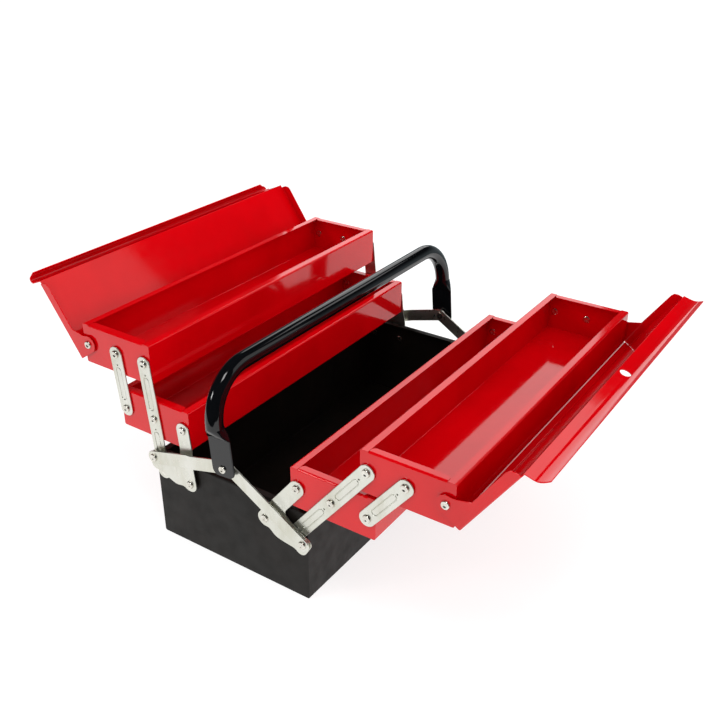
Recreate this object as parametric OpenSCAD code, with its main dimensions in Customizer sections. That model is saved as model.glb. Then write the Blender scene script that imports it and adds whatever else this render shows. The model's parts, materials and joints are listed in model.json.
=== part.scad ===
// Cantilever tool box: a steel base, two pairs of trays that fold out on flat links,
// two hinged lids on the upper trays and a tube handle carried by two arms at each end.
//
// The frame: X across the box, Y along it, Z up. The origin is the middle of the base's
// underside. "Right" is +X and "left" is -X. "Front" is the -Y end and "rear" the +Y end.
// Each end is drawn for the rear and mirrored to the front, and each side is drawn for
// the right and mirrored to the left.

/* [Base] */
// Width of the base
base_w = 200; // [190:1:204]
// Length of the base, which sets the trays' and lids' lengths too
base_l = 410; // [300:1:500]
// Height of the base
base_h = 105; // [95:1:107]
// Thickness of the sheet that the base, trays and lids are folded from
sheet = 1; // [0.8:0.1:1.2]
// Outside radius of the folds
fold_r = 2; // [1.6:0.1:2.5]
// Depth of the rim that is folded inwards round the base and the trays
rim = 8.5; // [6:0.5:12]

/* [Trays] */
// Width of a tray
tray_w = 96.5; // [94:0.5:97]
// Height of a tray
tray_h = 45; // [40:1:46]
// Distance from a tray's inner wall to its first pivot
pivot_inset = 8; // [7:0.5:9]
// Height of the pivots above a tray's underside
pivot_h = 23; // [21:0.5:25]

/* [Links] */
// Distance between neighbouring pivots along a link
link_c = 63; // [61:0.5:64]
// Width of a link
link_w = 17; // [14:0.5:18]
// Thickness of the links, cranks and arms
link_t = 1.5; // [1.2:0.1:1.6]
// Distance of the base pivots below the base's rim
pivot_below_rim = 22; // [20:0.5:25]

/* [Handle] */
// Outside diameter of the handle tube
tube_d = 18; // [15:0.5:20]
// Height of the grip's centre line above the handle pivot
grip_h = 99; // [90:1:110]
// Centre line radius of the handle's corners
corner_r = 50; // [40:1:51]
// Length of an arm between its pivots, beyond half of the base's width
arm_over = 7.5; // [5:0.5:10]
// Width of an arm
arm_w = 15.5; // [13:0.5:16]

/* [Pose at rest] */
// Outward lean of the right-hand links
right_lean = 38.5; // [-38:0.5:38.5]
// Outward lean of the left-hand links
left_lean = 5.7; // [-38:0.1:38.5]
// Angle that the lids stand open
lid_open = 124; // [0:1:124]
// Lean of the handle to the right
handle_lean = -4.5; // [-15:0.5:15]

/* [Hidden] */
$fn = 48;
END = [1, -1];

// A tray has three pivots, evenly spaced. The cranks turn on the inner pivots of the base and
// the long links on its outer ones, which are as far apart as two pivots of a tray.
base_pivot_h = base_h - pivot_below_rim;
pivot_gap = tray_w / 2 - pivot_inset;
outer_pivot_from_wall = 9.75;
outer_pivot_x = base_w / 2 - outer_pivot_from_wall;
base_pivot_x = outer_pivot_x - pivot_gap;

// A tray is a little shorter than the base.
tray_l = base_l - 1;

// Where a part lies between the box's end and the handle: distances from the middle, along Y.
base_end_y = base_l / 2;
tray_end_y = tray_l / 2;
link_y = base_end_y + 0.3;
link_out_y = link_y + link_t;
crank_y = link_out_y + 1;
crank_out_y = crank_y + link_t;
arm_y = crank_out_y + 2.5;
arm_out_y = arm_y + link_t;
arm_step = 1.9;
arm_c = base_w / 2 + arm_over;
flat_y = arm_out_y + arm_step + 1.2;
flat_t = 2.4;
tube_wall = flat_t / 2;
tube_y = base_end_y + 16;
lid_end_y = tray_end_y + 2.7;

// Heights above the handle pivot: the handle's end is flat below one and round above the other.
flat_top = 36;
round_from = 48;

// Rivets, and the running clearance of the holes that turn on them.
shank_r = 3;
run = 0.05;
bore_r = shank_r + run;
head_r = 4.3;
head_t = 1.8;
play = 0.1;
tail_t = 1.2;
collar_r = 5;
// What lies under a crank is thin: the outer base rivets' heads and the horn rivets' tails.
thin_t = 0.7;

// The crank's arm pivot: its distance from the base pivot, and its angle from the bar.
crank_arm = 50;
crank_angle = 62;
horn = crank_arm * [sin(crank_angle), cos(crank_angle)];

// The cranks' bend: where it starts and ends along the bar.
bend_from = 27;
bend_to = 33.5;

// Beads pressed into the links: width, depth, and how far they stay from a pivot.
bead_w = 7.5;
bead_deep = 0.5;
bead_clear = 11.5;

// The lid, measured from its pivot with the lid closed: how far out its edge is, the top,
// the ridge where its lip rises, the end of its flanges, and how far those and the skirt hang.
lid_over = 1.4;
lid_edge_x = pivot_inset + lid_over;
lid_gap = 1;
lid_top = tray_h - pivot_h + lid_gap + sheet;
lid_short = 5.5;
lid_ridge_x = pivot_inset + lid_short - tray_w;
ridge = [lid_ridge_x, lid_top];
flange_x = lid_ridge_x + 3;
lid_flange = 11;
lid_skirt = 7.4;

// The lips along the lids' ridges, as the middle lines of the sheet. The left lid's lip ends
// in a round hook that stops short of the rear end, and the right lid's covers it and has a hole.
right_lip = [ridge + [-3.9, 12.2], ridge + [-11.2, 17.2]];
left_lip = [ridge + [-2.5, 11.8], ridge + [-9.7, 11.4], ridge + [-11.9, 3.6]];
hook = ridge + [-6.1, 11.6];
hook_r = 3.6;
hook_cut = [35, 23, 11];
lip_corner = 8;
lip_reach = 17;
lip_hole_d = 10.6;
lip_hole_y = 1;
lip_hole_z = lid_top + 6.2;

// Colours.
enamel_red = "#c8141c";
enamel_black = "#2b2928";
zinc = "#d9d6cb";
steel_dark = "#4a4846";
tube_black = "#17181b";

// Where things are, as [x, z]. The lean is the link's angle from upright, outwards.
function along(lean, d) = d * [sin(lean), cos(lean)];
function turned(p, lean) = [p.x * cos(lean) + p.y * sin(lean), p.y * cos(lean) - p.x * sin(lean)];
base_pivot = [base_pivot_x, base_pivot_h];
function lower_tray_at(lean) = base_pivot + along(lean, link_c) - [pivot_inset, pivot_h];
function upper_tray_at(lean) = lower_tray_at(lean) + [pivot_gap, 0] + along(lean, link_c);
function pivot_in_tray(i) = [pivot_inset + i * pivot_gap, pivot_h];
function horn_at(lean) = base_pivot + turned(horn, lean);

// The way that a corner between stretches i and j of a line goes outwards, for a strip 2 wide.
function side_of(p, i) = [p[i].y - p[i + 1].y, p[i + 1].x - p[i].x] / norm(p[i + 1] - p[i]);
function both_sides(p, i, j) = side_of(p, i) + side_of(p, j);
function mitre(p, i, j) = 2 * both_sides(p, i, j) / pow(norm(both_sides(p, i, j)), 2);

// The handle pivot is where the two arms meet, above the line between the horns.
right_horn = horn_at(right_lean);
left_horn = [-horn_at(left_lean).x, horn_at(left_lean).y];
horn_gap = norm(right_horn - left_horn);
horn_dir = (right_horn - left_horn) / horn_gap;
arm_rise = sqrt(arm_c * arm_c - horn_gap * horn_gap / 4);
handle_pivot = (right_horn + left_horn) / 2 + arm_rise * [-horn_dir.y, horn_dir.x];
right_reach = handle_pivot - right_horn;
left_reach = handle_pivot - left_horn;
right_arm_lean = atan2(right_reach.x, right_reach.y);
left_arm_lean = atan2(left_reach.x, left_reach.y);

// ---- Helpers ----

// Mirrors what is drawn for the rear to the front.
module at_end(e) {
    mirror([0, e < 0 ? 1 : 0, 0]) children();
}

// Mirrors what is drawn for the right to the left.
module at_side(s) {
    mirror([s < 0 ? 1 : 0, 0, 0]) children();
}

// Moves to a place given as [x, z].
module at(p) {
    translate([p.x, 0, p.y]) children();
}

// Thickens an outline drawn in X and Z into a plate from y0 to y1.
module plate(y0, y1) {
    translate([0, y1, 0]) rotate([90, 0, 0]) linear_extrude(y1 - y0) children();
}

// A round bar along Y.
module bar(y0, y1, r) {
    translate([0, y0, 0]) rotate([-90, 0, 0]) cylinder(h = y1 - y0, r = r);
}

// A strip with round ends between two points, as an outline.
module strip(a, b, w) {
    d = b - a;
    translate(a) circle(d = w);
    translate(b) circle(d = w);
    translate(a) rotate(atan2(d.y, d.x)) translate([0, -w / 2]) square([norm(d), w]);
}

// A bent strip of sheet along a line of points, as an outline with mitred corners.
module ribbon(points, t) {
    last = len(points) - 1;
    ends = [for (i = [0:last]) t / 2 * mitre(points, max(i - 1, 0), min(i, last - 1))];
    polygon(concat(
        [for (i = [0:last]) points[i] + ends[i]],
        [for (i = [0:last]) points[last - i] - ends[last - i]]
    ));
}

// A quarter of a ring, from the +X axis to the +Y axis, as an outline.
module quarter_ring(r, t) {
    intersection() {
        difference() {
            circle(r = r);
            circle(r = r - t);
        }
        square(r);
    }
}

// A rivet: its tail inside a wall, a collar that spaces the moving plate, and its head.
module rivet(tail_y, wall_y, plate_in, plate_out, head = head_t) {
    bar(tail_y - tail_t, tail_y, head_r);
    bar(tail_y - tail_t, plate_out + play, shank_r);
    if (plate_in - play > wall_y) {
        bar(wall_y, plate_in - play, collar_r);
    }
    rivet_head(plate_out + play, head);
}

// A rivet's head, with its edge taken off.
module rivet_head(y, t) {
    edge = min(0.6, t / 2);
    translate([0, y, 0]) rotate([-90, 0, 0]) rotate_extrude()
        polygon([[0, 0], [head_r, 0], [head_r, t - edge], [head_r - edge, t], [0, t]]);
}

// ---- Base and trays ----

// The section of a folded trough: floor, two walls and a rim folded inwards on each.
module trough_section(w, h) {
    for (s = [0, 1]) {
        translate([s * w, 0]) mirror([s, 0]) {
            translate([0, fold_r]) square([sheet, h - 2 * fold_r]);
            translate([fold_r, fold_r]) rotate(180) quarter_ring(fold_r, sheet);
            translate([fold_r, h - fold_r]) rotate(90) quarter_ring(fold_r, sheet);
            translate([fold_r, h - sheet]) square([rim - fold_r, sheet]);
        }
    }
    translate([fold_r, 0]) square([w - 2 * fold_r, sheet]);
}

// A trough with its inner face on the Y axis. Its rims run on over the end walls.
module trough(w, l, h) {
    end = l / 2;
    plate(-end + sheet, end - sheet) trough_section(w, h);
    plate(-end, end) intersection() {
        trough_section(w, h);
        translate([0, h - sheet]) square([w, sheet]);
    }
}

// An end wall: a plate with its rim folded inwards, which stops short of the corners.
module end_wall(w, l, h) {
    end = l / 2;
    cut = rim + 0.5;
    low = h - sheet - 0.1;
    difference() {
        union() {
            plate(end - sheet, end) {
                translate([fold_r, 0]) square([w - 2 * fold_r, low]);
                translate([0, fold_r]) square([w, low - fold_r]);
                for (x = [fold_r, w - fold_r]) translate([x, fold_r]) circle(fold_r);
            }
            translate([cut, end - fold_r, h - fold_r]) rotate([90, 0, 90])
                linear_extrude(w - 2 * cut) quarter_ring(fold_r, sheet);
            translate([0, 0, h - sheet]) linear_extrude(sheet) rim_outline(w, end, cut);
        }
        translate([cut, end - fold_r, h - fold_r]) end_fold_waste(w - 2 * cut);
    }
}

// What the fold takes off the end wall's square top edge.
module end_fold_waste(l) {
    rotate([90, 0, 90]) linear_extrude(l) difference() {
        square(fold_r + 1);
        circle(fold_r);
    }
}

// The end wall's rim from above, with its two inner corners rounded.
module rim_outline(w, end, cut) {
    corner = 4;
    translate([cut, end - rim + corner]) square([w - 2 * cut, rim - corner - fold_r]);
    translate([cut + corner, end - rim]) square([w - 2 * (cut + corner), corner]);
    for (x = [cut + corner, w - cut - corner]) translate([x, end - rim + corner]) circle(corner);
}

// The base's trough, from wall to wall.
module base_tub() {
    color(enamel_black) translate([-base_w / 2, 0, 0]) trough(base_w, base_l, base_h);
}

module base_end(e) {
    color(enamel_black) at_end(e) difference() {
        translate([-base_w / 2, 0, 0]) end_wall(base_w, base_l, base_h);
        for (x = [-outer_pivot_x, -base_pivot_x, base_pivot_x, outer_pivot_x]) {
            at([x, base_pivot_h]) bar(base_end_y - 2 * sheet, base_end_y + 1, shank_r);
        }
    }
}

// Eight rivets: two for each side's links at each end.
module base_rivets() {
    color(zinc) for (e = END, s = END) at_end(e) at_side(s) {
        at(base_pivot) {
            bar(base_end_y - sheet - tail_t, base_end_y - sheet, head_r);
            bar(base_end_y - sheet - tail_t, crank_out_y + play, shank_r);
            rivet_head(crank_out_y + play, head_t);
        }
        at([outer_pivot_x, base_pivot_h]) {
            rivet(base_end_y - sheet, base_end_y, link_y, link_out_y, thin_t);
        }
    }
}

// Four bushes that hold the cranks clear of the long links.
module crank_bushes() {
    color(steel_dark) for (e = END, s = END) at_end(e) at_side(s) at(base_pivot) difference() {
        bar(base_end_y, crank_y - play, collar_r);
        bar(base_end_y - 1, crank_y, shank_r);
    }
}

module tray_trough(s, place) {
    color(enamel_red) at_side(s) at(place) trough(tray_w, tray_l, tray_h);
}

module tray_end(s, e, place) {
    color(enamel_red) at_side(s) at_end(e) at(place) difference() {
        end_wall(tray_w, tray_l, tray_h);
        for (i = [0, 1, 2]) at(pivot_in_tray(i)) bar(tray_end_y - 2 * sheet, tray_end_y + 1, shank_r);
    }
}

// The lower tray's rivets: three at each end, each holding a link.
module lower_rivets(s, place) {
    color(zinc) for (e = END, i = [0, 1, 2]) at_side(s) at_end(e) at(place + pivot_in_tray(i)) {
        rivet(tray_end_y - sheet, tray_end_y, link_y, link_out_y);
    }
}

// The upper tray's rivets: two at each end hold the links, and one is the lid's pivot.
module upper_rivets(s, place) {
    color(zinc) for (e = END) at_side(s) at_end(e) {
        for (i = [0, 1]) at(place + pivot_in_tray(i)) {
            rivet(tray_end_y - sheet, tray_end_y, link_y, link_out_y);
        }
        at(place + pivot_in_tray(2)) rivet(tray_end_y - sheet, tray_end_y, lid_end_y - sheet, lid_end_y);
    }
}

// ---- Lids ----

// A bend between two stretches of a strip, as points on the curve from a to c that b pulls.
function bend(a, b, c) = [for (t = [0:0.2:1]) pow(1 - t, 2) * a + 2 * t * (1 - t) * b + t * t * c];

// The right lid's section: its top, then its lip up from the ridge and round to the left.
module right_lid_section() {
    top_z = lid_top - sheet / 2;
    foot = [lid_ridge_x, top_z];
    lip = bend((foot + right_lip[0]) / 2, right_lip[0], (2 * right_lip[1] + right_lip[0]) / 3);
    ribbon(concat([[lid_edge_x - fold_r, top_z], foot], lip, [right_lip[1]]), sheet);
}

// What is cut off the right lip's rear corner, seen from above.
module lip_waste() {
    far = lid_ridge_x - lip_reach;
    translate([0, 0, lid_top + 0.5]) linear_extrude(1.5 * lip_reach) polygon([
        [lid_ridge_x + 1, lid_end_y], [far, lid_end_y - lip_corner], [far, lid_end_y]
    ]);
}

// What is cut off the left lip's rear end: all of it behind a square cut, and off the hook's
// outer half, seen from the side, what is behind a slanting one.
module hook_waste() {
    low = lid_top + 0.5;
    top = lid_top + lip_reach;
    behind = [for (back = hook_cut) lid_end_y - back];
    translate([lid_ridge_x - lip_reach, 0, 0]) rotate([90, 0, 90]) {
        linear_extrude(lip_reach + 1)
            polygon([[behind[2], low], [behind[2], top], [lid_end_y, top], [lid_end_y, low]]);
        linear_extrude(hook.x - lid_ridge_x + lip_reach + 1.6) polygon([
            [behind[0], low], [behind[0], left_lip[2].y - 1.1], [behind[1], left_lip[1].y],
            [behind[2], top], [lid_end_y, top], [lid_end_y, low]
        ]);
    }
}

// The left lid's section: its top, then its lip up from the ridge, over and down again.
module left_lid_section() {
    top_z = lid_top - sheet / 2;
    over = [for (a = [20:20:160]) hook + hook_r * [cos(a), sin(a)]];
    lip = concat([left_lip[0]], over, [left_lip[1], left_lip[2]]);
    ribbon(concat([[lid_edge_x - fold_r, top_z], [lid_ridge_x, top_z]], lip), sheet);
}

// The lid's end flange, with the ear that its pivot goes through.
module lid_flange_outline() {
    low = lid_top - lid_flange;
    difference() {
        union() {
            circle(lid_edge_x);
            polygon([
                [lid_edge_x, 0], [lid_edge_x, lid_top - fold_r], [flange_x, lid_top - fold_r],
                [flange_x + 1, low + 5], [flange_x + 3.5, low + 1.2], [flange_x + 7.6, low],
                [-22.7, low], [-12, 2.7], [-lid_edge_x * cos(45), -lid_edge_x * sin(45)]
            ]);
        }
        circle(bore_r);
    }
}

// A closed lid without its top: the fold and skirt along its outer edge, and its two flanges.
module lid_edges() {
    end = lid_end_y;
    skirt_end = end - fold_r - 1;
    plate(-end + fold_r, end - fold_r) {
        translate([lid_edge_x - fold_r, lid_top - fold_r]) quarter_ring(fold_r, sheet);
    }
    plate(-skirt_end, skirt_end) {
        translate([lid_edge_x - sheet, lid_top - lid_skirt]) square([sheet, lid_skirt - fold_r]);
    }
    for (e = END) at_end(e) {
        plate(end - sheet, end) lid_flange_outline();
        translate([flange_x, end - fold_r, lid_top - fold_r]) rotate([90, 0, 90])
            linear_extrude(lid_edge_x - flange_x) quarter_ring(fold_r, sheet);
    }
}

module right_lid() {
    color(enamel_red) at(upper_right + pivot_in_tray(2)) rotate([0, lid_open, 0]) difference() {
        union() {
            lid_edges();
            plate(-lid_end_y + fold_r, lid_end_y - fold_r) right_lid_section();
        }
        translate([lid_ridge_x + lip_reach / 2, lip_hole_y, lip_hole_z]) rotate([0, -90, 0])
            cylinder(h = lip_reach, d = lip_hole_d);
        at_end(-1) lip_waste();
    }
}

module left_lid() {
    color(enamel_red) at_side(-1) at(upper_left + pivot_in_tray(2)) rotate([0, lid_open, 0]) {
        lid_edges();
        difference() {
            plate(-lid_end_y + fold_r, lid_end_y - fold_r) left_lid_section();
            hook_waste();
        }
    }
}

// ---- Links ----

// A capsule-shaped bead between two pivots, as an outline.
module bead(z) {
    strip([0, z + bead_clear + bead_w / 2], [0, z + link_c - bead_clear - bead_w / 2], bead_w);
}

// A flat link that stands on its lowest pivot, with a number of equal bays.
module link(bays) {
    difference() {
        plate(link_y, link_out_y) strip([0, 0], [0, bays * link_c], link_w);
        for (i = [0:bays]) translate([0, 0, i * link_c]) bar(link_y - 1, link_out_y + 1, bore_r);
        for (i = [0:bays - 1]) plate(link_out_y - bead_deep, link_out_y + 1) bead(i * link_c);
    }
}

module long_link(s, e, lean) {
    color(zinc) at_side(s) at_end(e) at([outer_pivot_x, base_pivot_h]) rotate([0, lean, 0]) link(2);
}

module short_link(s, e, lean) {
    color(zinc) at_side(s) at_end(e) at(lower_tray_at(lean) + pivot_in_tray(2)) rotate([0, lean, 0]) link(1);
}

// The crank's outline: X is outwards from the bar and Y along it.
module crank_outline() {
    strip([0, 0], [0, link_c], link_w);
    translate(horn) circle(6.5);
    translate([45, 15]) circle(9);
    polygon([
        [-link_w / 2, 0], [-link_w / 2, bend_to], [link_w / 2, 31.5], [10.5, 29], [14, 27.8],
        [19, bend_from], [34, 28], [44, 30], [54, 15], [42, 6.5], [36, 3.3], [27, -2.3],
        [20, -5], [9.5, -4.2], [5, -6.5]
    ]);
}

// The crank's section along its bar: the plate, then a bend in towards the tray.
module crank_bend() {
    reach = 2 * link_w;
    top = link_c + link_w;
    rotate([90, 0, 90]) translate([0, 0, -link_w]) linear_extrude(reach + 2) polygon([
        [crank_y, -link_w], [crank_out_y, -link_w], [crank_out_y, bend_from],
        [link_out_y, bend_to], [link_out_y, top], [link_y, top], [link_y, bend_to],
        [crank_y, bend_from]
    ]);
}

module crank(s, e, lean) {
    far = bend_from - 8;
    color(zinc) at_side(s) at_end(e) at(base_pivot) rotate([0, lean, 0]) difference() {
        union() {
            intersection() {
                plate(link_y - 1, crank_out_y + 1) crank_outline();
                crank_bend();
            }
            plate(crank_y, crank_out_y) intersection() {
                crank_outline();
                translate([far, -link_w]) square(link_c);
            }
        }
        bar(link_y - 1, crank_out_y + 1, bore_r);
        translate([0, 0, link_c]) bar(link_y - 1, crank_out_y + 1, bore_r);
        at(horn) bar(link_y - 1, crank_out_y + 1, shank_r);
    }
}

// ---- Arms and handle ----

// A flat arm from its horn to the handle pivot.
module flat_arm() {
    difference() {
        plate(arm_y, arm_out_y) strip([0, 0], [0, arm_c], arm_w);
        for (z = [0, arm_c]) translate([0, 0, z]) bar(arm_y - 1, arm_out_y + 1, bore_r);
    }
}

// An arm with a step outwards half way, so that it passes outside the other arm.
module stepped_arm() {
    from = 52;
    to = 60;
    out = arm_out_y + arm_step;
    difference() {
        intersection() {
            plate(arm_y - 1, out + 1) strip([0, 0], [0, arm_c], arm_w);
            rotate([90, 0, 90]) translate([0, 0, -arm_w]) linear_extrude(2 * arm_w) polygon([
                [arm_y, -arm_w], [arm_out_y, -arm_w], [arm_out_y, from], [out, to], [out, arm_c + arm_w],
                [out - link_t, arm_c + arm_w], [out - link_t, to], [arm_y, from]
            ]);
        }
        for (z = [0, arm_c]) translate([0, 0, z]) bar(arm_y - 1, out + 1, bore_r);
    }
}

module right_arm(e) {
    color(zinc) at_end(e) at(right_horn) rotate([0, right_arm_lean, 0]) flat_arm();
}

module left_arm(e) {
    color(zinc) at_end(e) at(left_horn) rotate([0, left_arm_lean, 0]) stepped_arm();
}

// The rivets in the cranks' horns that the arms turn on. Their tails clear the long links.
module arm_rivets(place) {
    color(zinc) for (e = END) at_end(e) at(place) {
        bar(crank_y - thin_t, crank_y, head_r);
        bar(crank_y - thin_t, arm_out_y + play, shank_r);
        rivet_head(arm_out_y + play, head_t);
    }
}

// Washers between the cranks and the arms.
module arm_washers(place) {
    color(zinc) for (e = END) at_end(e) at(place) difference() {
        bar(crank_out_y, arm_y - play, collar_r);
        bar(crank_out_y - 1, arm_y, shank_r);
    }
}

// One end of the handle: the flattened tube, and the stretch where it becomes round.
module handle_end() {
    flat_w = 28.5;
    flat_low = -8.5;
    corner = 7;
    tube_r = tube_d / 2;
    difference() {
        union() {
            plate(flat_y, flat_y + flat_t) {
                translate([-flat_w / 2, flat_low + corner]) square([flat_w, flat_top - flat_low - corner]);
                translate([-flat_w / 2 + corner, flat_low]) square([flat_w - 2 * corner, corner]);
                for (s = END) translate([s * (flat_w / 2 - corner), flat_low + corner]) circle(corner);
            }
            hull() {
                translate([-flat_w / 2, flat_y, flat_top - 0.5]) cube([flat_w, flat_t, 0.5]);
                translate([0, tube_y, round_from]) cylinder(h = 0.5, r = tube_r, $fn = 32);
            }
        }
        bar(flat_y - 1, flat_y + flat_t + 1, bore_r);
    }
}

// The bow of the handle above its flattened ends, as a round bar.
module bow(r, round_from) {
    half_grip = tube_y - corner_r;
    translate([0, 0, grip_h]) bar(-half_grip, half_grip, r);
    for (e = END) at_end(e) {
        translate([0, tube_y, round_from]) cylinder(h = grip_h - corner_r - round_from, r = r);
        translate([0, half_grip, grip_h - corner_r]) rotate([90, 0, 90])
            rotate_extrude(angle = 90) translate([corner_r, 0]) circle(r);
    }
}

// The handle: a tube bent to a bow, with both ends flattened and drilled.
module handle() {
    color(tube_black) at(handle_pivot) rotate([0, handle_lean, 0]) difference() {
        union() {
            bow(tube_d / 2, round_from);
            for (e = END) at_end(e) handle_end();
        }
        bow(tube_d / 2 - tube_wall, round_from + 1);
    }
}

// The rivets that the handle turns on, which are fixed in the left arms.
module handle_rivets() {
    out = flat_y + flat_t + play;
    color(zinc) for (e = END) at_end(e) at(handle_pivot) {
        bar(arm_out_y + 0.2, out, shank_r);
        rivet_head(out, head_t);
    }
}

// The rivets' inner ends, which stay in the right arms.
module handle_rivet_tails() {
    color(zinc) for (e = END) at_end(e) at(handle_pivot) {
        bar(arm_y - 1, arm_y, head_r);
        bar(arm_y - 1, arm_out_y, bore_r);
    }
}

// ---- Assembly ----

lower_right = lower_tray_at(right_lean);
lower_left = lower_tray_at(left_lean);
upper_right = upper_tray_at(right_lean);
upper_left = upper_tray_at(left_lean);

base_tub();
base_end(-1);  // base_front_end
base_end(1);  // base_rear_end
base_rivets();
crank_bushes();
tray_trough(1, lower_right);  // lower_right_trough
tray_end(1, -1, lower_right);  // lower_right_front_end
tray_end(1, 1, lower_right);  // lower_right_rear_end
lower_rivets(1, lower_right);  // lower_right_rivets
tray_trough(-1, lower_left);  // lower_left_trough
tray_end(-1, -1, lower_left);  // lower_left_front_end
tray_end(-1, 1, lower_left);  // lower_left_rear_end
lower_rivets(-1, lower_left);  // lower_left_rivets
tray_trough(1, upper_right);  // upper_right_trough
tray_end(1, -1, upper_right);  // upper_right_front_end
tray_end(1, 1, upper_right);  // upper_right_rear_end
upper_rivets(1, upper_right);  // upper_right_rivets
tray_trough(-1, upper_left);  // upper_left_trough
tray_end(-1, -1, upper_left);  // upper_left_front_end
tray_end(-1, 1, upper_left);  // upper_left_rear_end
upper_rivets(-1, upper_left);  // upper_left_rivets
right_lid();
left_lid();
crank(1, -1, right_lean);  // right_front_crank
crank(1, 1, right_lean);  // right_rear_crank
crank(-1, -1, left_lean);  // left_front_crank
crank(-1, 1, left_lean);  // left_rear_crank
long_link(1, -1, right_lean);  // right_front_long_link
long_link(1, 1, right_lean);  // right_rear_long_link
long_link(-1, -1, left_lean);  // left_front_long_link
long_link(-1, 1, left_lean);  // left_rear_long_link
short_link(1, -1, right_lean);  // right_front_short_link
short_link(1, 1, right_lean);  // right_rear_short_link
short_link(-1, -1, left_lean);  // left_front_short_link
short_link(-1, 1, left_lean);  // left_rear_short_link
right_arm(-1);  // right_front_arm
right_arm(1);  // right_rear_arm
left_arm(-1);  // left_front_arm
left_arm(1);  // left_rear_arm
arm_rivets(right_horn);  // right_arm_rivets
arm_rivets(left_horn);  // left_arm_rivets
arm_washers(right_horn);  // right_arm_washers
arm_washers(left_horn);  // left_arm_washers
handle();
handle_rivets();
handle_rivet_tails();
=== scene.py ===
# %% [markdown]
# # A cantilever tool box, dressed in Blender
# The box is a black base, four red trays that fold out on flat plated links, two red lids
# and a black tube handle. The solids are already exact. This file gives them their finishes,
# softens the edges of the sheets, and rebuilds by hand the pieces whose edges, beads and
# rolled forms are worth seeing close by: links, cranks, arms, rivets and the handle. Lengths
# are in millimetres and are turned to metres where a mesh is made.

# %% Load the frame
import json
import math

import bmesh
import bpy
from mathutils import Matrix, Vector


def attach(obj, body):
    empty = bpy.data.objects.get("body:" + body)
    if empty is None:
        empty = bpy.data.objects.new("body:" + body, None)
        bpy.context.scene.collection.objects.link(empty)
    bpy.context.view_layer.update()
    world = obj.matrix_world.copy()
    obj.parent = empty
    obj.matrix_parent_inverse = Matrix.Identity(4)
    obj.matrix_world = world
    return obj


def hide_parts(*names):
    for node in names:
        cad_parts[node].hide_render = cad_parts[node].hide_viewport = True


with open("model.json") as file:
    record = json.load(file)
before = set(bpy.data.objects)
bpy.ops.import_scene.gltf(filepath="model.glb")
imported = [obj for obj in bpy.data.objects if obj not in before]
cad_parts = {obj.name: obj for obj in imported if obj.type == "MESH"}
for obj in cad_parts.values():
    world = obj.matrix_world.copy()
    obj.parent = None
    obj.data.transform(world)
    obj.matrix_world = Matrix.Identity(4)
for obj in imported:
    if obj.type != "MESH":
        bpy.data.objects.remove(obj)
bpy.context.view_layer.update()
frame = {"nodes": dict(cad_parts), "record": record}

# %% [markdown]
# ## The camera
# The camera stands a little over a metre away, to the right of the box's front end, and
# looks down at it by about 28 degrees. It could be aimed at a point with a constraint, but
# it is set from a place and three angles instead, because the roll can then be given too.

# %% Camera
MM = 0.001
EYE = Vector((539.74, -767.18, 650.71)) * MM
YAW, PITCH, ROLL = (math.radians(a) for a in (33.84, 28.03, 0.19))
LENS_MM, SENSOR_MM = 45.92, 36
FAR_CLIP = 50  # metres, beyond everything in the scene

ahead = Vector((
    -math.sin(YAW) * math.cos(PITCH),
    math.cos(YAW) * math.cos(PITCH),
    -math.sin(PITCH),
))
level = Vector((math.cos(YAW), math.sin(YAW), 0))
upright = level.cross(ahead)
across = level * math.cos(ROLL) + upright * math.sin(ROLL)
upward = upright * math.cos(ROLL) - level * math.sin(ROLL)

camera = bpy.data.objects.new("camera", bpy.data.cameras.new("camera"))
camera.matrix_world = Matrix((across, upward, -ahead)).transposed().to_4x4()
camera.location = EYE
camera.data.lens = LENS_MM
camera.data.sensor_width = SENSOR_MM
camera.data.clip_end = FAR_CLIP
bpy.context.collection.objects.link(camera)
bpy.context.scene.camera = camera
print("camera looks along", tuple(round(c, 3) for c in ahead))

# %% [markdown]
# ## Colours and nodes
# Colours are written as the hex values that a picture editor shows. Blender works with
# linear light, so one function turns them. A second one adds a shader node, sets its
# sockets or properties, and joins its inputs to other nodes.

# %% Two helpers for materials
def linear(code):
    """A colour as linear light, from its sRGB hex value."""
    parts = [int(code[i : i + 2], 16) / 255 for i in (1, 3, 5)]
    return [p / 12.92 if p <= 0.04045 else ((p + 0.055) / 1.055) ** 2.4 for p in parts] + [1]


def add(tree, kind, settings=(), links=()):
    """A new shader node, with its settings and with its inputs joined to other sockets."""
    node = tree.nodes.new(kind)
    for key, value in dict(settings).items():
        if key in node.inputs:
            node.inputs[key].default_value = value
        else:
            setattr(node, key, value)
    for key, socket in dict(links).items():
        tree.links.new(socket, node.inputs[key])
    return node


print("red enamel as linear light:", [round(c, 3) for c in linear("#cb0009")])

# %% [markdown]
# ## A finish
# Every finish here is made the same way, as a layer on steel. A broad noise moves the
# colour between a few close tones, a second one makes some patches glossier than others,
# and a fine one raises a bump: the orange peel of sprayed enamel, or the fine lines that
# rolling leaves in plated strip. A picture of each surface would do too, but noise never
# repeats and is sharp at any distance. The settings are real sizes in millimetres, and the
# noise scale is worked out from them.

# %% The finish maker
NOISE_LOW, NOISE_HIGH = 0.3, 0.7  # most of a noise's values lie between these
BUMP_STRENGTH = 0.6


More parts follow.
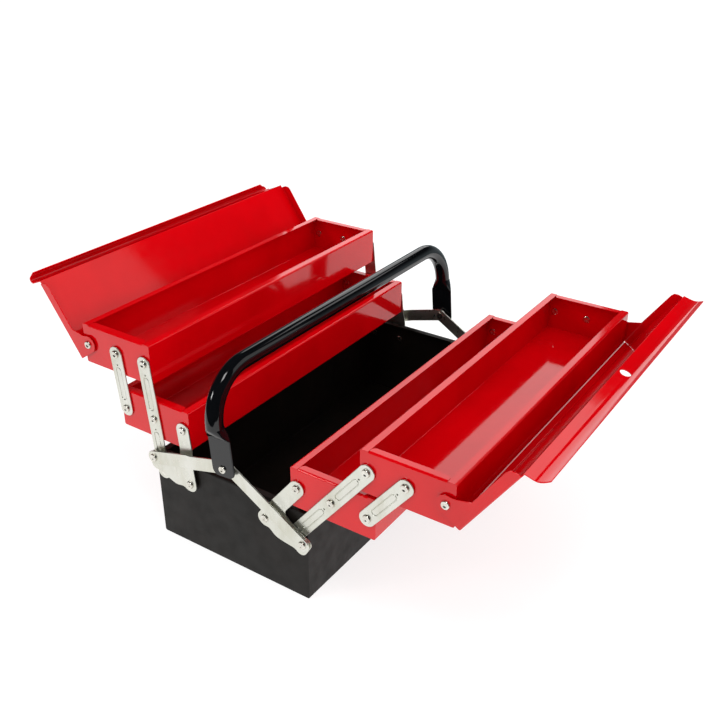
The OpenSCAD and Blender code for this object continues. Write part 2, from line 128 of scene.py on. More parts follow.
def finish(
    name, tones, roughness, grain_mm, patch_mm, bump_mm, depth_mm,
    stretch=(1, 1, 1), metallic=0.0, ior=1.5,
):
    """A layered material: tones from light to dark, a roughness range, and a bump."""
    material = bpy.data.materials.new(name)
    material.use_nodes = True
    tree = material.node_tree
    tree.nodes.clear()
    place = add(tree, "ShaderNodeTexCoord")
    along = add(
        tree, "ShaderNodeMapping", {"Scale": stretch}, {"Vector": place.outputs["Object"]}
    )
    noises = []
    for size_mm, detail, rough in ((patch_mm, 3, 0.55), (grain_mm, 4, 0.5), (bump_mm, 1, 0.5)):
        settings = {"Scale": 1 / (size_mm * MM), "Detail": detail, "Roughness": rough}
        noise = add(tree, "ShaderNodeTexNoise", settings, {"Vector": along.outputs["Vector"]})
        noises.append(noise.outputs["Fac"])
    patch, grain, peel = noises
    colour = add(tree, "ShaderNodeValToRGB", {}, {"Fac": patch})
    stops = colour.color_ramp.elements
    while len(stops) < len(tones):
        stops.new(0.5)
    for i, tone in enumerate(tones):
        stops[i].position = NOISE_LOW + (NOISE_HIGH - NOISE_LOW) * i / (len(tones) - 1)
        stops[i].color = linear(tone)
    gloss_range = {
        "From Min": NOISE_LOW, "From Max": NOISE_HIGH,
        "To Min": roughness[0], "To Max": roughness[1],
    }
    gloss = add(tree, "ShaderNodeMapRange", gloss_range, {"Value": grain})
    bump_size = {"Strength": BUMP_STRENGTH, "Distance": depth_mm * MM}
    bump = add(tree, "ShaderNodeBump", bump_size, {"Height": peel})
    shader = add(
        tree,
        "ShaderNodeBsdfPrincipled",
        {"Metallic": metallic, "IOR": ior},
        {
            "Base Color": colour.outputs["Color"],
            "Roughness": gloss.outputs["Result"],
            "Normal": bump.outputs["Normal"],
        },
    )
    add(tree, "ShaderNodeOutputMaterial", {}, {"Surface": shader.outputs["BSDF"]})
    print(f"finish {name}: {len(tree.nodes)} nodes")
    return material


# %% [markdown]
# ## The finishes of the box
# Trays and lids are pressed sheet with a sprayed and baked red enamel, and the base has a
# thinner black one. Links, cranks and arms are bright zinc plate on rolled strip. Rivets are
# plated too, and the handle's tube is dipped in a thick gloss black. Real orange peel is
# about a millimetre across and rolling lines are finer still. Both are too fine to show here,
# so they are drawn about twice as coarse or more.

# %% Make them
FINISHES = {
    # Deep and glossy, with reflections that the orange peel softens.
    "red_enamel": finish(
        "red_baked_enamel", ["#cb0009", "#c40008", "#bc0006"], (0.05, 0.1),
        grain_mm=9, patch_mm=70, bump_mm=2.2, depth_mm=0.008,
    ),
    # A satin skin: a warm grey sheen instead of a clear reflection, and a low IOR to keep it
    # dark.
    "black_enamel": finish(
        "black_satin_enamel", ["#150f0b", "#100c08", "#0b0806"], (0.4, 0.55),
        grain_mm=14, patch_mm=45, bump_mm=1.2, depth_mm=0.02, ior=1.3,
    ),
    # Pale and slightly yellow, with blurred light. Its lines are drawn out along Z, which is
    # roughly along the strips.
    "zinc_plate": finish(
        "bright_zinc_plate", ["#dcdcd4", "#d6d6cc", "#cac9bb"], (0.26, 0.36),
        grain_mm=3, patch_mm=22, bump_mm=1.2, depth_mm=0.0015, stretch=(1, 1, 0.35), metallic=1.0,
    ),
    # Small bright heads that are polished by the tool that forms them.
    "rivet_steel": finish(
        "plated_rivet_steel", ["#e6e4dc", "#d8d5cb", "#c6c2b6"], (0.15, 0.28),
        grain_mm=1.2, patch_mm=5, bump_mm=0.6, depth_mm=0.006, metallic=1.0,
    ),
    # Dull and dark, for the bushes behind the cranks, which nobody polishes.
    "dark_steel": finish(
        "oiled_turned_steel", ["#6a6762", "#55524d", "#3f3d39"], (0.3, 0.45),
        grain_mm=1.5, patch_mm=6, bump_mm=0.5, depth_mm=0.006, metallic=1.0,
    ),
    # Nearly a black mirror, so the tube shows mostly as long thin highlights.
    "black_gloss": finish(
        "black_gloss_enamel", ["#0a0b0e", "#07080a", "#040506"], (0.04, 0.08),
        grain_mm=11, patch_mm=40, bump_mm=2.2, depth_mm=0.006,
    ),
}

# %% [markdown]
# ## Dressing the solids
# A few solids are shown just as they are, such as the bushes behind the cranks. Each solid's
# record names its finish, so one loop dresses all of them, and the pieces that are rebuilt
# below take theirs from the same table.

# %% Give each solid the finish that its record names
for row in frame["record"]["subparts"]:
    solid = frame["nodes"][row["node"]]
    solid.data.materials.clear()
    solid.data.materials.append(FINISHES[row["material_slot"]])
print("solids dressed:", len(frame["nodes"]))

# %% [markdown]
# ## Where things are
# A few lengths place every link and rivet. Each side is drawn for the right and mirrored to
# the left, and each end is drawn for the rear and mirrored to the front. A link leans
# outwards by its side's angle, 38.5 degrees on the right and 5.7 on the left. The layers at
# an end are counted outwards from the middle of the box, as Y. All of this could be measured
# on the solids, but a piece that is drawn by hand is easier to follow from plain numbers.

# %% Lengths and places
BASE_PIVOT = Vector((50, 0, 83))  # where a crank turns on the base
PIVOT_GAP = Vector((40.25, 0, 0))  # from one pivot to the next along a tray
LINK_C, LINK_W = 63, 17
ARM_C, ARM_W = 107.5, 15.5
LEAN = {"right": 38.5, "left": 5.7}
SIDE = {"right": 1, "left": -1}
END = {"rear": 1, "front": -1}
TRAY_END_Y, BASE_END_Y = 204.5, 205
LINK_IN, LINK_OUT = 205.3, 206.8
CRANK_IN, CRANK_OUT = 207.8, 209.3
ARM_IN, ARM_OUT = 211.8, 213.3
ARM_STEP = 1.9  # how far a left arm steps out to pass a right one
FLAT_IN, FLAT_OUT = 216.4, 218.8  # the flat end of the handle
HORN = Vector((44.147, 0, 23.474))  # from a crank's base pivot to its arm's pivot


def leaning(side):
    """The way that a side's links point, as a vector one link long."""
    angle = math.radians(LEAN[side])
    return Vector((math.sin(angle), 0, math.cos(angle))) * LINK_C


def turned(vector, degrees):
    """A vector turned about Y, towards +X for a positive angle."""
    return Matrix.Rotation(math.radians(degrees), 3, "Y") @ vector


def placed(side, end, point=Vector(), degrees=0.0):
    """The matrix that takes a piece drawn in mm at the origin to its place, in metres."""
    mirrored = Matrix.Diagonal((SIDE[side] * MM, END[end] * MM, MM, 1))
    return mirrored @ Matrix.Translation(point) @ Matrix.Rotation(math.radians(degrees), 4, "Y")


right_horn = BASE_PIVOT + turned(HORN, LEAN["right"])
left_horn = BASE_PIVOT + turned(HORN, LEAN["left"])
left_horn.x *= -1
between = right_horn - left_horn
rise = math.sqrt(ARM_C**2 - between.length**2 / 4)
upwards = Vector((-between.z, 0, between.x)).normalized()
handle_pivot = (right_horn + left_horn) / 2 + rise * upwards
print("handle pivot:", tuple(round(c, 2) for c in handle_pivot))

# %% [markdown]
# ## Rings and lofts
# Most small pieces here are a stack of outlines joined side by side, so two helpers are
# enough for them. A ring round two points is a circle pulled apart in the middle. The
# circle's number of segments leaves no vertex on the line where it is pulled apart.

# %% Helpers for outlines
EDGE = 0.3  # the corner that is taken off a plate's edges
PLATE_SEGMENTS, BEAD_SEGMENTS, HOLE_SEGMENTS = 34, 26, 10


def ring_edges(verts):
    """The edges that join a ring's own vertices, each once and in the same order every time."""
    ring = set(verts)
    return list(dict.fromkeys(e for v in verts for e in v.link_edges if e.other_vert(v) in ring))


def capsule(bm, low, high, radius, y, segments=PLATE_SEGMENTS):
    """A ring round two points on the Z axis, in the plane at y."""
    upright_plane = Matrix.Translation((0, y, 0)) @ Matrix.Rotation(math.pi / 2, 4, "X")
    full = radius / math.cos(math.pi / segments)
    made = bmesh.ops.create_circle(bm, segments=segments, radius=full, matrix=upright_plane)
    for v in made["verts"]:
        v.co.z += high if v.co.z > 0 else low
    return made["verts"]


def loft(bm, rings, caps=True):
    """Joins each ring to the next, and fills the first and the last."""
    for first, second in zip(rings, rings[1:]):
        bmesh.ops.bridge_loops(bm, edges=ring_edges(first) + ring_edges(second))
    for ring in (rings[0], rings[-1]) if caps else ():
        bmesh.ops.contextual_create(bm, geom=ring)


def plate_rings(bm, length, width, y_in, y_out):
    """The four outlines of a strip with its edges taken off."""
    full, small = width / 2, width / 2 - EDGE
    steps = ((small, y_in), (full, y_in + EDGE), (full, y_out - EDGE), (small, y_out))
    return [capsule(bm, 0, length, r, y) for r, y in steps]


def whole(bm):
    """Every vertex, edge and face of a bmesh."""
    return bm.verts[:] + bm.edges[:] + bm.faces[:]


print("a link's plate:", round(LINK_OUT - LINK_IN, 2), "mm thick,", LINK_W, "mm wide")

# %% [markdown]
# ## Finishing a piece
# A piece is merged and its normals are recalculated, because a mirrored shape is inside out.
# Plain smooth shading would spread a bevel's turn over the wide flat beside it, and the flat
# would mirror the room like a bent sheet. So each corner's normal leans on the largest faces
# round it. Then the piece rides on a body, takes a slot's finish and stands for its solids.

# %% Finish a piece
MERGE = 1e-6  # metres
SMOOTH_SMALL, SMOOTH_SHEET, SMOOTH_TUBE = 40, 50, 30  # degrees


def corner_normals(bm, limit):
    """A normal for each face corner: the mean of the faces round it, by area."""
    normals = []
    for face in bm.faces:
        for corner in face.loops:
            near = [
                other for other in corner.vert.link_faces
                if other == face or other.normal.angle(face.normal, 0) < limit
            ]
            total = sum((other.normal * other.calc_area() for other in near), Vector())
            normals.append(total.normalized())
    return normals


def piece(name, bm, body, slot, *nodes, smooth=SMOOTH_SMALL):
    """Makes an object from a bmesh that is already in place, in metres."""
    bmesh.ops.remove_doubles(bm, verts=bm.verts, dist=MERGE)
    bmesh.ops.recalc_face_normals(bm, faces=bm.faces)
    for face in bm.faces:
        face.smooth = True
    normals = corner_normals(bm, math.radians(smooth))
    mesh = bpy.data.meshes.new(name)
    bm.to_mesh(mesh)
    bm.free()
    mesh.set_sharp_from_angle(angle=math.radians(smooth))
    mesh.normals_split_custom_set(normals)
    mesh.materials.append(FINISHES[slot])
    made = bpy.data.objects.new(name, mesh)
    bpy.context.collection.objects.link(made)
    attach(made, body)
    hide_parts(*nodes)
    print(f"{name}: {len(mesh.polygons)} faces for {len(nodes)} nodes")


def add_part(bm, part, matrix):
    """Moves a part to its place and adds it to a larger bmesh."""
    bmesh.ops.transform(part, matrix=matrix, verts=part.verts)
    mesh = bpy.data.meshes.new("part")
    part.to_mesh(mesh)
    part.free()
    bm.from_mesh(mesh)
    bpy.data.meshes.remove(mesh)


# %% [markdown]
# ## Folded sheet
# The base, the trays and the lids keep the exact shape of their solids, but a real sheet has
# no knife edges: folds are round, sprayed enamel rounds the cut edges too, and all of them
# catch a fine line of light. So each of these is a copy of its solid's mesh, merged, with its
# flat faces joined into whole ones. The folds between wide faces are bevelled first, and then
# the cut edges by a quarter of a millimetre. A Bevel modifier would be shorter, but it would
# round folds and cut edges alike.

# %% Copies with soft edges
FOLD_R, CUT_R = 0.9, 0.25
FOLD_STEPS, CUT_STEPS = 4, 2
NARROW = 3  # a face narrower than this is the edge of a sheet
FLAT_TURN, SHARP_TURN = math.radians(1), math.radians(40)


def sharp_edges(bm):
    """The edges whose two faces turn sharply."""
    return [e for e in bm.edges if len(e.link_faces) == 2 and e.calc_face_angle() > SHARP_TURN]


def width(face):
    """A face's area over its longest edge: about its width, if it is a strip."""
    return face.calc_area() / max(e.calc_length() for e in face.edges)


def bevelled(bm, edges, radius, steps):
    """Rounds some edges of a bmesh."""
    bmesh.ops.bevel(
        bm, geom=edges, offset=radius, offset_type="OFFSET", segments=steps,
        clamp_overlap=True, affect="EDGES", profile=0.5, material=-1,
    )


def softened(solid):
    """A bmesh copy of a solid, in place, with its sharp edges bevelled."""
    bm = bmesh.new()
    bm.from_mesh(solid.data)
    bm.transform(solid.matrix_world)
    bmesh.ops.remove_doubles(bm, verts=bm.verts, dist=MERGE)
    bmesh.ops.dissolve_limit(
        bm, angle_limit=FLAT_TURN, verts=bm.verts, edges=bm.edges, use_dissolve_boundaries=False
    )
    folds = [e for e in sharp_edges(bm) if min(map(width, e.link_faces)) > NARROW * MM]
    bevelled(bm, folds, FOLD_R * MM, FOLD_STEPS)
    bevelled(bm, sharp_edges(bm), CUT_R * MM, CUT_STEPS)
    return bm


# %% [markdown]
# Each sheet piece rides its own body. A lid has a body of its own name. A trough or an end
# wall has its tray's, whose name puts the side first: lower_right_trough rides
# right_lower_tray.

# %% Every piece of enamelled sheet
def body_of_sheet(node):
    """The body that a sheet piece rides."""
    if node.endswith("_lid"):
        return node
    level, side = node.split("_")[:2]
    return "base" if level == "base" else f"{side}_{level}_tray"


for row in frame["record"]["subparts"]:
    node, slot = row["node"], row["material_slot"]
    if slot in ("red_enamel", "black_enamel"):
        copy = softened(frame["nodes"][node])
        piece(node + "_sheet", copy, body_of_sheet(node), slot, node, smooth=SMOOTH_SHEET)

# %% [markdown]
# ## Links
# A link is a strip of plated steel with round ends. Between each two pivots it has a long
# bead, whose outline is pressed in as a fine groove, and above the bead a small hole. The
# front face is filled round those outlines as a flat net of triangles, and each outline is
# extruded in steps: inwards and down, and for the bead up again. Cutting them with booleans
# would work too, but it leaves thin slivers along the groove.

# %% The link plate
BEAD_R, BEAD_LOW, BEAD_HIGH = 3.75, 10, 14.5
BEAD_STEPS = ((0.3, 0.65), (0.7, 0.65), (1.1, 0.05))  # inset and depth of each step
HOLE_R, HOLE_UP = 1.0, 12.2
HOLE_STEPS = ((0.1, 1.0),)


def sink(bm, ring, low, high, radius, steps):
    """Extrudes a ring round two points step by step, and closes it."""
    inset_before, deep_before = 0, 0
    for inset, deep in steps:
        shrink = (radius - inset) / (radius - inset_before)
        made = bmesh.ops.extrude_edge_only(bm, edges=ring_edges(ring))["geom"]
        ring = [g for g in made if isinstance(g, bmesh.types.BMVert)]
        for v in ring:
            middle = min(max(v.co.z, low), high)
            v.co.x *= shrink
            v.co.z = middle + (v.co.z - middle) * shrink
            v.co.y -= deep - deep_before
        inset_before, deep_before = inset, deep
    bmesh.ops.contextual_create(bm, geom=ring)


def link_plate(bays):
    """A link with its lowest pivot at the origin; a bay is the length between two pivots."""
    bm = bmesh.new()
    rings = plate_rings(bm, bays * LINK_C, LINK_W, LINK_IN, LINK_OUT)
    loft(bm, rings, caps=False)
    bmesh.ops.contextual_create(bm, geom=rings[0])
    front = ring_edges(rings[-1])
    sunk = []
    for bay in range(bays):
        foot, top = bay * LINK_C, (bay + 1) * LINK_C
        low, high = foot + BEAD_LOW + BEAD_R, top - BEAD_HIGH - BEAD_R
        bead = capsule(bm, low, high, BEAD_R, LINK_OUT, BEAD_SEGMENTS)
        hole_z = top - HOLE_UP
        hole = capsule(bm, hole_z, hole_z, HOLE_R, LINK_OUT, HOLE_SEGMENTS)
        front += ring_edges(bead) + ring_edges(hole)
        sunk.append((bead, low, high, BEAD_R, BEAD_STEPS))
        sunk.append((hole, hole_z, hole_z, HOLE_R, HOLE_STEPS))
    bmesh.ops.triangle_fill(bm, use_beauty=True, edges=front)
    for step in sunk:
        sink(bm, *step)
    return bm


# %% Place the eight links
for side in SIDE:
    for end in END:
        for kind, bays, foot in (
            ("long", 2, BASE_PIVOT + PIVOT_GAP),
            ("short", 1, BASE_PIVOT + leaning(side) + 2 * PIVOT_GAP),
        ):
            bm = bmesh.new()
            add_part(bm, link_plate(bays), placed(side, end, foot, LEAN[side]))
            name = f"{side}_{end}_{kind}_link"
            piece(name + "_plate", bm, f"{side}_{kind}_link", "zinc_plate", name)

# %% [markdown]
# ## Cranks
# A crank is one plate: a bar that lifts the lower tray, and a broad wing with a horn that
# the handle's arm pulls. Its outline is a polygon of a few corners. Bevelling a flat face's
# corners as vertices rounds them, which is quicker than drawing arcs. The bar is bent in
# towards the tray above the wing, so the plate is cut across there and its top moved in.

# %% The crank plate
BEND_FROM, BEND_TO, BEND_IN, BEND_PARTS = 26, 41, 2.5, 6
BEND_CUTS = [
    BEND_FROM + (BEND_TO - BEND_FROM) * i / BEND_PARTS for i in range(BEND_PARTS + 1)
]
BAR_EDGE, WING_FROM = 9.4, 10  # the cut beside the bar, and where the wing stays flat
CORNER_STEPS, EDGE_STEPS = 7, 2
RIM_TURN = 1.2  # radians: a plate's rim turns more than this
OUTLINE = [  # corners, each with the radius that rounds it
    ((-8.5, -8.5), 8.4), ((-8.5, 71.5), 8.4), ((8.5, 71.5), 8.4), ((8.5, 28.6), 4.5),
    ((19, 27), 0), ((34, 28), 3), ((51.2, 30.6), 6.4), ((54.6, 6), 8.6), ((42, 6.5), 3),
    ((27, -2.3), 5), ((20, -5), 3.5), ((9.5, -4.2), 3), ((4.6, -8.5), 3.6),
]


def cut_across(bm, place, normal):
    """Cuts a bmesh in two along a plane, and keeps both halves."""
    bmesh.ops.bisect_plane(bm, geom=whole(bm), plane_co=place, plane_no=normal)


def crank_plate():
    """A crank with its base pivot at the origin."""
    bm = bmesh.new()
    corners = [bm.verts.new((x, CRANK_IN, z)) for (x, z), _ in OUTLINE]
    bm.faces.new(corners)
    for corner, (_, radius) in zip(corners, OUTLINE):
        if radius:
            bmesh.ops.bevel(
                bm, geom=[corner], offset=radius, offset_type="OFFSET", segments=CORNER_STEPS,
                affect="VERTICES", profile=0.5, material=-1,
            )
    for z in BEND_CUTS:
        cut_across(bm, (0, 0, z), (0, 0, 1))
    cut_across(bm, (BAR_EDGE, 0, 0), (1, 0, 0))
    raised = bmesh.ops.extrude_face_region(bm, geom=bm.faces[:])["geom"]
    top = [g for g in raised if isinstance(g, bmesh.types.BMVert)]
    bmesh.ops.translate(bm, verts=top, vec=(0, CRANK_OUT - CRANK_IN, 0))
    bmesh.ops.recalc_face_normals(bm, faces=bm.faces)
    rim = [e for e in bm.edges if len(e.link_faces) == 2 and e.calc_face_angle() > RIM_TURN]
    bmesh.ops.bevel(
        bm, geom=rim, offset=EDGE, offset_type="OFFSET", segments=EDGE_STEPS,
        affect="EDGES", profile=0.5, material=-1,
    )
    for v in bm.verts:
        if v.co.x < WING_FROM:
            way = min(max((v.co.z - BEND_FROM) / (BEND_TO - BEND_FROM), 0), 1)
            v.co.y -= BEND_IN * way * way * (3 - 2 * way)
    return bm


for side in SIDE:
    for end in END:
        bm = bmesh.new()
        add_part(bm, crank_plate(), placed(side, end, BASE_PIVOT, LEAN[side]))
        name = f"{side}_{end}_crank"
        piece(name + "_plate", bm, f"{side}_crank", "zinc_plate", name)

# %% [markdown]
# ## Arms
# Each handle end hangs from two arms that come from the cranks' horns. They are flat strips
# like the links, without beads. The left arms pass outside the right ones at the handle's
# pivot, so they step outwards half way. Two cuts across the strip are all that a step needs.

# %% The arms
STEP_FROM, STEP_TO = 52, 60


def arm_plate(step):
    """An arm from its horn at the origin, with a step outwards."""
    bm = bmesh.new()
    loft(bm, plate_rings(bm, ARM_C, ARM_W, ARM_IN, ARM_OUT))
    for z in (STEP_FROM, STEP_TO):
        cut_across(bm, (0, 0, z), (0, 0, 1))
    for v in bm.verts:
        v.co.y += step * min(max((v.co.z - STEP_FROM) / (STEP_TO - STEP_FROM), 0), 1)
    return bm


ARM_FROM = {"right": right_horn, "left": left_horn}
for side, horn in ARM_FROM.items():
    reach = handle_pivot - horn
    lean = math.degrees(math.atan2(reach.x, reach.z))
    step = ARM_STEP if side == "left" else 0
    for end in END:
        bm = bmesh.new()
        add_part(bm, arm_plate(step), placed("right", end, horn, lean))
        name = f"{side}_{end}_arm"
        piece(name + "_plate", bm, f"{side}_arm", "zinc_plate", name)

# %% [markdown]
# ## Rivets
# Every pivot is a rivet: a low round head outside with a dished middle, a shank, a collar
# where the moving plate stands off the wall, and a rolled tail inside. All of that is one
# profile turned about the rivet's axis, so a spin makes each of them. A rivet whose tail is
# hidden between two plates starts at the shank instead.

# %% The rivet
SHANK_R, HEAD_R, COLLAR_R, PLAY = 3, 4.3, 5, 0.1
HEAD_TALL, HEAD_LOW = 1.8, 0.7
SPIN_STEPS = 28
TAIL = [(0, -0.8), (1.5, -0.8), (2.1, -1.2), (3.3, -1.15), (4.1, -0.6), (4.2, 0)]
HEAD = [  # each height is a share of the head's own
    (HEAD_R, 0), (HEAD_R, 0.55), (HEAD_R - 0.45, 0.9), (3.1, 1), (2.2, 0.95), (1.5, 0.7), (0, 0.6),
]


def rivet(bm, matrix, tail, wall, plate_in, plate_out, tall=HEAD_TALL, hidden=False):
    """Spins a rivet about its axis and adds it, at its place."""
    points = [(0, tail)] if hidden else [(r, tail + y) for r, y in TAIL]
    points += [(SHANK_R, tail), (SHANK_R, wall)]
    collar = plate_in - PLAY
    if collar > wall:
        points += [(COLLAR_R, wall), (COLLAR_R, collar), (SHANK_R, collar)]
    under = plate_out + PLAY
    points += [(SHANK_R, under)] + [(r, under + share * tall) for r, share in HEAD]
    part = bmesh.new()
    line = [part.verts.new((r, y, 0)) for r, y in points]
    edges = [part.edges.new(pair) for pair in zip(line, line[1:])]
    bmesh.ops.spin(
        part, geom=line + edges, cent=(0, 0, 0), axis=(0, 1, 0), angle=2 * math.pi,
        steps=SPIN_STEPS, use_merge=True,
    )
    add_part(bm, part, matrix)


print("a rivet's head:", 2 * HEAD_R, "mm across and", HEAD_TALL, "mm high")

# %% [markdown]
# The base's inner rivets carry the cranks. Its outer ones carry the long links under lower
# heads, because the cranks pass over them. Each tray has three rivets at an end, one link
# further out than the row below. The last one of an upper tray carries the lid's flange,
# which stands a little further off the wall than a link does.

# %% Rivets of the base and of the trays
SHEET_T = 1
LID_IN, LID_OUT = 206.2, 207.2

bm = bmesh.new()
base_tail = BASE_END_Y - SHEET_T
for side in SIDE:
    for end in END:
        rivet(bm, placed(side, end, BASE_PIVOT), base_tail, BASE_END_Y, BASE_END_Y, CRANK_OUT)
        spot = placed(side, end, BASE_PIVOT + PIVOT_GAP)
        rivet(bm, spot, base_tail, BASE_END_Y, LINK_IN, LINK_OUT, tall=HEAD_LOW)
piece("base_rivet_set", bm, "base", "rivet_steel", "base_rivets")

tray_tail = TRAY_END_Y - SHEET_T
for side in SIDE:
    step = leaning(side)
    for level, first, outermost in (
        ("lower", BASE_PIVOT + step, (LINK_IN, LINK_OUT)),
        ("upper", BASE_PIVOT + 2 * step + PIVOT_GAP, (LID_IN, LID_OUT)),
    ):
        bm = bmesh.new()
        for end in END:
            for i in range(3):
                spot = placed(side, end, first + i * PIVOT_GAP)
                plate = outermost if i == 2 else (LINK_IN, LINK_OUT)
                rivet(bm, spot, tray_tail, TRAY_END_Y, *plate)
        name = f"{level}_{side}_rivet"
        piece(name + "_set", bm, f"{side}_{level}_tray", "rivet_steel", name + "s")

# %% [markdown]
# Between a crank's wing and its arm lies a thin washer, which is drawn as the rivet's own
# collar. The handle's rivets start behind the left arm, and their inner ends stay solids.

# %% Rivets of the arms and of the handle
for side, horn in ARM_FROM.items():
    bm = bmesh.new()
    for end in END:
        spot = placed("right", end, horn)
        rivet(bm, spot, CRANK_IN, CRANK_OUT, ARM_IN, ARM_OUT, hidden=True)
    name = f"{side}_arm"
    solids = (name + "_rivets", name + "_washers")
    piece(name + "_rivet_set", bm, f"{side}_crank", "rivet_steel", *solids)

TAIL_GAP = 0.2  # between the right arm and the rivet that goes through the left one
bm = bmesh.new()
for end in END:
    spot = placed("right", end, handle_pivot)
    rivet(bm, spot, ARM_OUT + TAIL_GAP, FLAT_IN, FLAT_IN, FLAT_OUT, hidden=True)
piece("handle_rivet_set", bm, "left_arm", "rivet_steel", "handle_rivets")

# %% [markdown]
# ## The handle
# The handle is a tube bent to a bow. Its ends are pressed flat, which makes them wider than
# the tube, and their corners are rounded. It could be a curve with a bevel, but a curve keeps
# one section. So it is a loft of rings from the middle of the grip to one end: a ring starts
# as a circle, and the further down the end it lies, the more its sides are squeezed towards a
# thin slot. The mesh is then mirrored to the other half.

# %% The handle's rings
TUBE_R, TUBE_Y, GRIP_H, CORNER_R = 9, 221, 99, 50
FLAT_W, FLAT_TOP, FLAT_LOW, FLAT_CORNER = 28.5, 34, -8.5, 7
ROUND_FROM = 50  # above this the tube is round
HANDLE_LEAN = -4.5
TUBE_SEGMENTS = 40
BEND_STEPS, PRESS_STEPS, CORNER_ROWS = 12, 8, 6
SIDE_POWER, FACE_GAIN, PRESS_POWER = 0.55, 2.4, 1.5  # how a circle turns to a slot
MIRROR_MERGE = 1e-4


def tube_ring(bm, y, z, tilt, wide=TUBE_R, thick=TUBE_R, press=0.0):
    """A ring across the tube: tilt 0 faces along Y, 90 faces down, press squares it."""
    made = bmesh.ops.create_circle(bm, segments=TUBE_SEGMENTS, radius=1)["verts"]
    angle = math.radians(tilt)
    for v in made:
        c, s = v.co.x, v.co.y
        x = wide * (c * (1 - press) + press * math.copysign(abs(c) ** SIDE_POWER, c))
        t = thick * (s * (1 - press) + press * max(-1, min(1, FACE_GAIN * s)))
        v.co = (x, y + t * math.sin(angle), z + t * math.cos(angle))
    return made


print("grip:", 2 * TUBE_R, "mm thick and", GRIP_H, "mm above the handle's pivots")

# %% The handle
half_grip = TUBE_Y - CORNER_R
flat_y, flat_r, flat_t = (FLAT_IN + FLAT_OUT) / 2, FLAT_W / 2, (FLAT_OUT - FLAT_IN) / 2
bm = bmesh.new()
rings = [tube_ring(bm, 0, GRIP_H, 0), tube_ring(bm, half_grip, GRIP_H, 0)]
for step in range(1, BEND_STEPS + 1):
    tilt = 90 * step / BEND_STEPS
    a = math.radians(tilt)
    y, z = half_grip + CORNER_R * math.sin(a), GRIP_H - CORNER_R + CORNER_R * math.cos(a)
    rings.append(tube_ring(bm, y, z, tilt))
for step in range(1, PRESS_STEPS + 1):
    press = step / PRESS_STEPS
    soft = press**PRESS_POWER
    y, z = TUBE_Y + (flat_y - TUBE_Y) * soft, ROUND_FROM + (FLAT_TOP - ROUND_FROM) * press
    wide, thick = TUBE_R + (flat_r - TUBE_R) * soft, TUBE_R + (flat_t - TUBE_R) * soft
    rings.append(tube_ring(bm, y, z, 90, wide, thick, press))
for step in range(CORNER_ROWS + 1):
    a = math.radians(90 * step / CORNER_ROWS)
    z, wide = FLAT_LOW + FLAT_CORNER * (1 - math.sin(a)), flat_r - FLAT_CORNER * (1 - math.cos(a))
    rings.append(tube_ring(bm, flat_y, z, 90, wide, flat_t, 1))
loft(bm, rings, caps=False)
bmesh.ops.contextual_create(bm, geom=rings[-1])
bmesh.ops.mirror(bm, geom=whole(bm), axis="Y", merge_dist=MIRROR_MERGE)
tube = bmesh.new()
add_part(tube, bm, placed("right", "rear", handle_pivot, HANDLE_LEAN))
piece("handle_tube", tube, "handle", "black_gloss", "handle", smooth=SMOOTH_TUBE)

# %% [markdown]
# ## The floor
# The box stands on a light table: an opal sheet that glows a little, which keeps the shade
# under the trays pale. A bright white floor under strong lamps would do that as well, but its
# light would flood the red enamel from below. What lies beyond the sheet is as white as the
# sheet, so its edge doesn't show.

# %% The floor
FLOOR_HALF = 0.8  # metres
FLOOR_GLOW = 0.76
bm = bmesh.new()
bmesh.ops.create_grid(bm, x_segments=1, y_segments=1, size=FLOOR_HALF)
floor_mesh = bpy.data.meshes.new("floor")
bm.to_mesh(floor_mesh)
bm.free()
opal = finish(
    "opal_light_table", ["#979797", "#959595"], (0.8, 0.9),
    grain_mm=60, patch_mm=300, bump_mm=3, depth_mm=0.01,
)
glow = opal.node_tree.nodes["Principled BSDF"].inputs
glow["Emission Color"].default_value = (1, 1, 1, 1)
glow["Emission Strength"].default_value = FLOOR_GLOW
floor_mesh.materials.append(opal)
floor = bpy.data.objects.new("floor", floor_mesh)
bpy.context.collection.objects.link(floor)
print("floor:", 2 * FLOOR_HALF, "m square")

# %% [markdown]
# ## The room
# The room lights the box from all sides, a little more from the right. In reflections it is
# dark instead, as a studio's black curtains are, and only low behind the box a pale band
# shows: enamel keeps its full colour there, and shines only where it mirrors a lamp, the band
# or the floor. A Light Path node tells the world which kind of ray asks.

# %% The room
WHITE = (1, 1, 1, 1)
BACKDROP = 1.1  # just past white, so it shows as pure white
FROM_LEFT, FROM_RIGHT = 0.65, 1.45
CURTAIN, BAND, BAND_TOP = 0.02, 0.5, 0.45

world = bpy.data.worlds.new("studio")
world.use_nodes = True
bpy.context.scene.world = world
sky = world.node_tree
sky.nodes.clear()
ray = add(sky, "ShaderNodeLightPath").outputs
way = add(sky, "ShaderNodeTexCoord")
toward = add(sky, "ShaderNodeSeparateXYZ", {}, {"Vector": way.outputs["Generated"]}).outputs
from_right = add(
    sky, "ShaderNodeMapRange",
    {"From Min": -1, "From Max": 1, "To Min": FROM_LEFT, "To Max": FROM_RIGHT},
    {"Value": toward["X"]},
)
not_above = add(
    sky, "ShaderNodeMapRange",
    {"From Min": 0, "From Max": BAND_TOP, "To Min": BAND, "To Max": 0},
    {"Value": toward["Z"]},
)
behind = add(
    sky, "ShaderNodeMapRange",
    {"From Min": 0, "From Max": 1, "To Min": CURTAIN},
    {"Value": toward["Y"], "To Max": not_above.outputs["Result"]},
)
PLAIN = "ShaderNodeBackground"
room = add(sky, PLAIN, {"Color": WHITE}, {"Strength": from_right.outputs["Result"]})
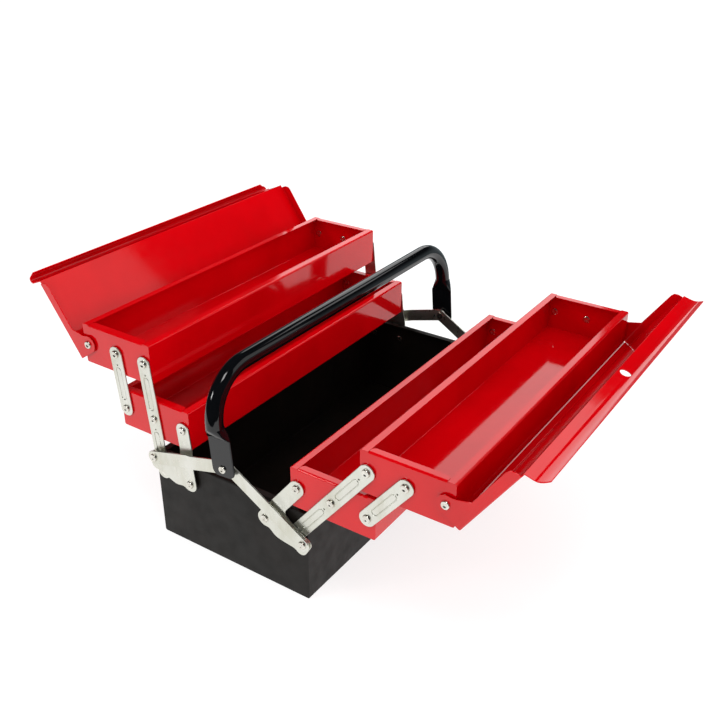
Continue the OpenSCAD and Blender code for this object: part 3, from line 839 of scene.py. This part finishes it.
backdrop = add(sky, PLAIN, {"Color": WHITE, "Strength": BACKDROP})
curtains = add(sky, PLAIN, {"Color": linear("#d8eaf0")}, {"Strength": behind.outputs["Result"]})
shown = room
for asks, instead in (("Is Camera Ray", backdrop), ("Is Glossy Ray", curtains)):
    choice = {0: ray[asks], 1: shown.outputs[0], 2: instead.outputs[0]}
    shown = add(sky, "ShaderNodeMixShader", {}, choice)
add(sky, "ShaderNodeOutputWorld", {}, {"Surface": shown.outputs["Shader"]})
print("room:", len(sky.nodes), "nodes")

# %% [markdown]
# ## The lamps
# Five square lamps give the enamel its mirrored patches. Each stands where a face of the box
# would send the camera's line of sight. A small bright lamp leaves a crisp glint and adds
# little light to the rest, and a large pale one leaves a broad sheen. The right one is seen
# in the left lid, the rear one in the tray floors and rims, the strip in the right lid's lip
# and along the handle's grip, and the last two in the handle's bends.

# %% The lamps
def softbox(name, bearing, height, distance, size, glow):
    """A square lamp that faces the box, from a bearing and a height in degrees.

    Its glow is its brightness, so a smaller lamp of the same glow gives less light.
    """
    around, up = math.radians(bearing), math.radians(height)
    place = distance * Vector((
        math.cos(up) * math.cos(around), math.cos(up) * math.sin(around), math.sin(up)
    ))
    lamp = bpy.data.lights.new(name, "AREA")
    lamp.size = size
    lamp.energy = glow * math.pi * size**2
    holder = bpy.data.objects.new(name, lamp)
    holder.location = place
    holder.rotation_euler = (-place).to_track_quat("-Z", "Y").to_euler()
    bpy.context.collection.objects.link(holder)
    print(f"{name}: {lamp.energy:.1f} W over {size} m")


softbox("right_softbox", bearing=30.5, height=32, distance=2.2, size=1.2, glow=0.8)
softbox("rear_softbox", bearing=116, height=32, distance=2.5, size=1.2, glow=1.8)
softbox("strip_softbox", bearing=75, height=45, distance=2.2, size=0.45, glow=1.6)
softbox("overhead_softbox", bearing=-55, height=66, distance=2.2, size=0.55, glow=8)
softbox("front_softbox", bearing=-121, height=30, distance=2.2, size=0.38, glow=14)
bpy.context.scene.view_settings.view_transform = "Standard"  # colours stay as they are written
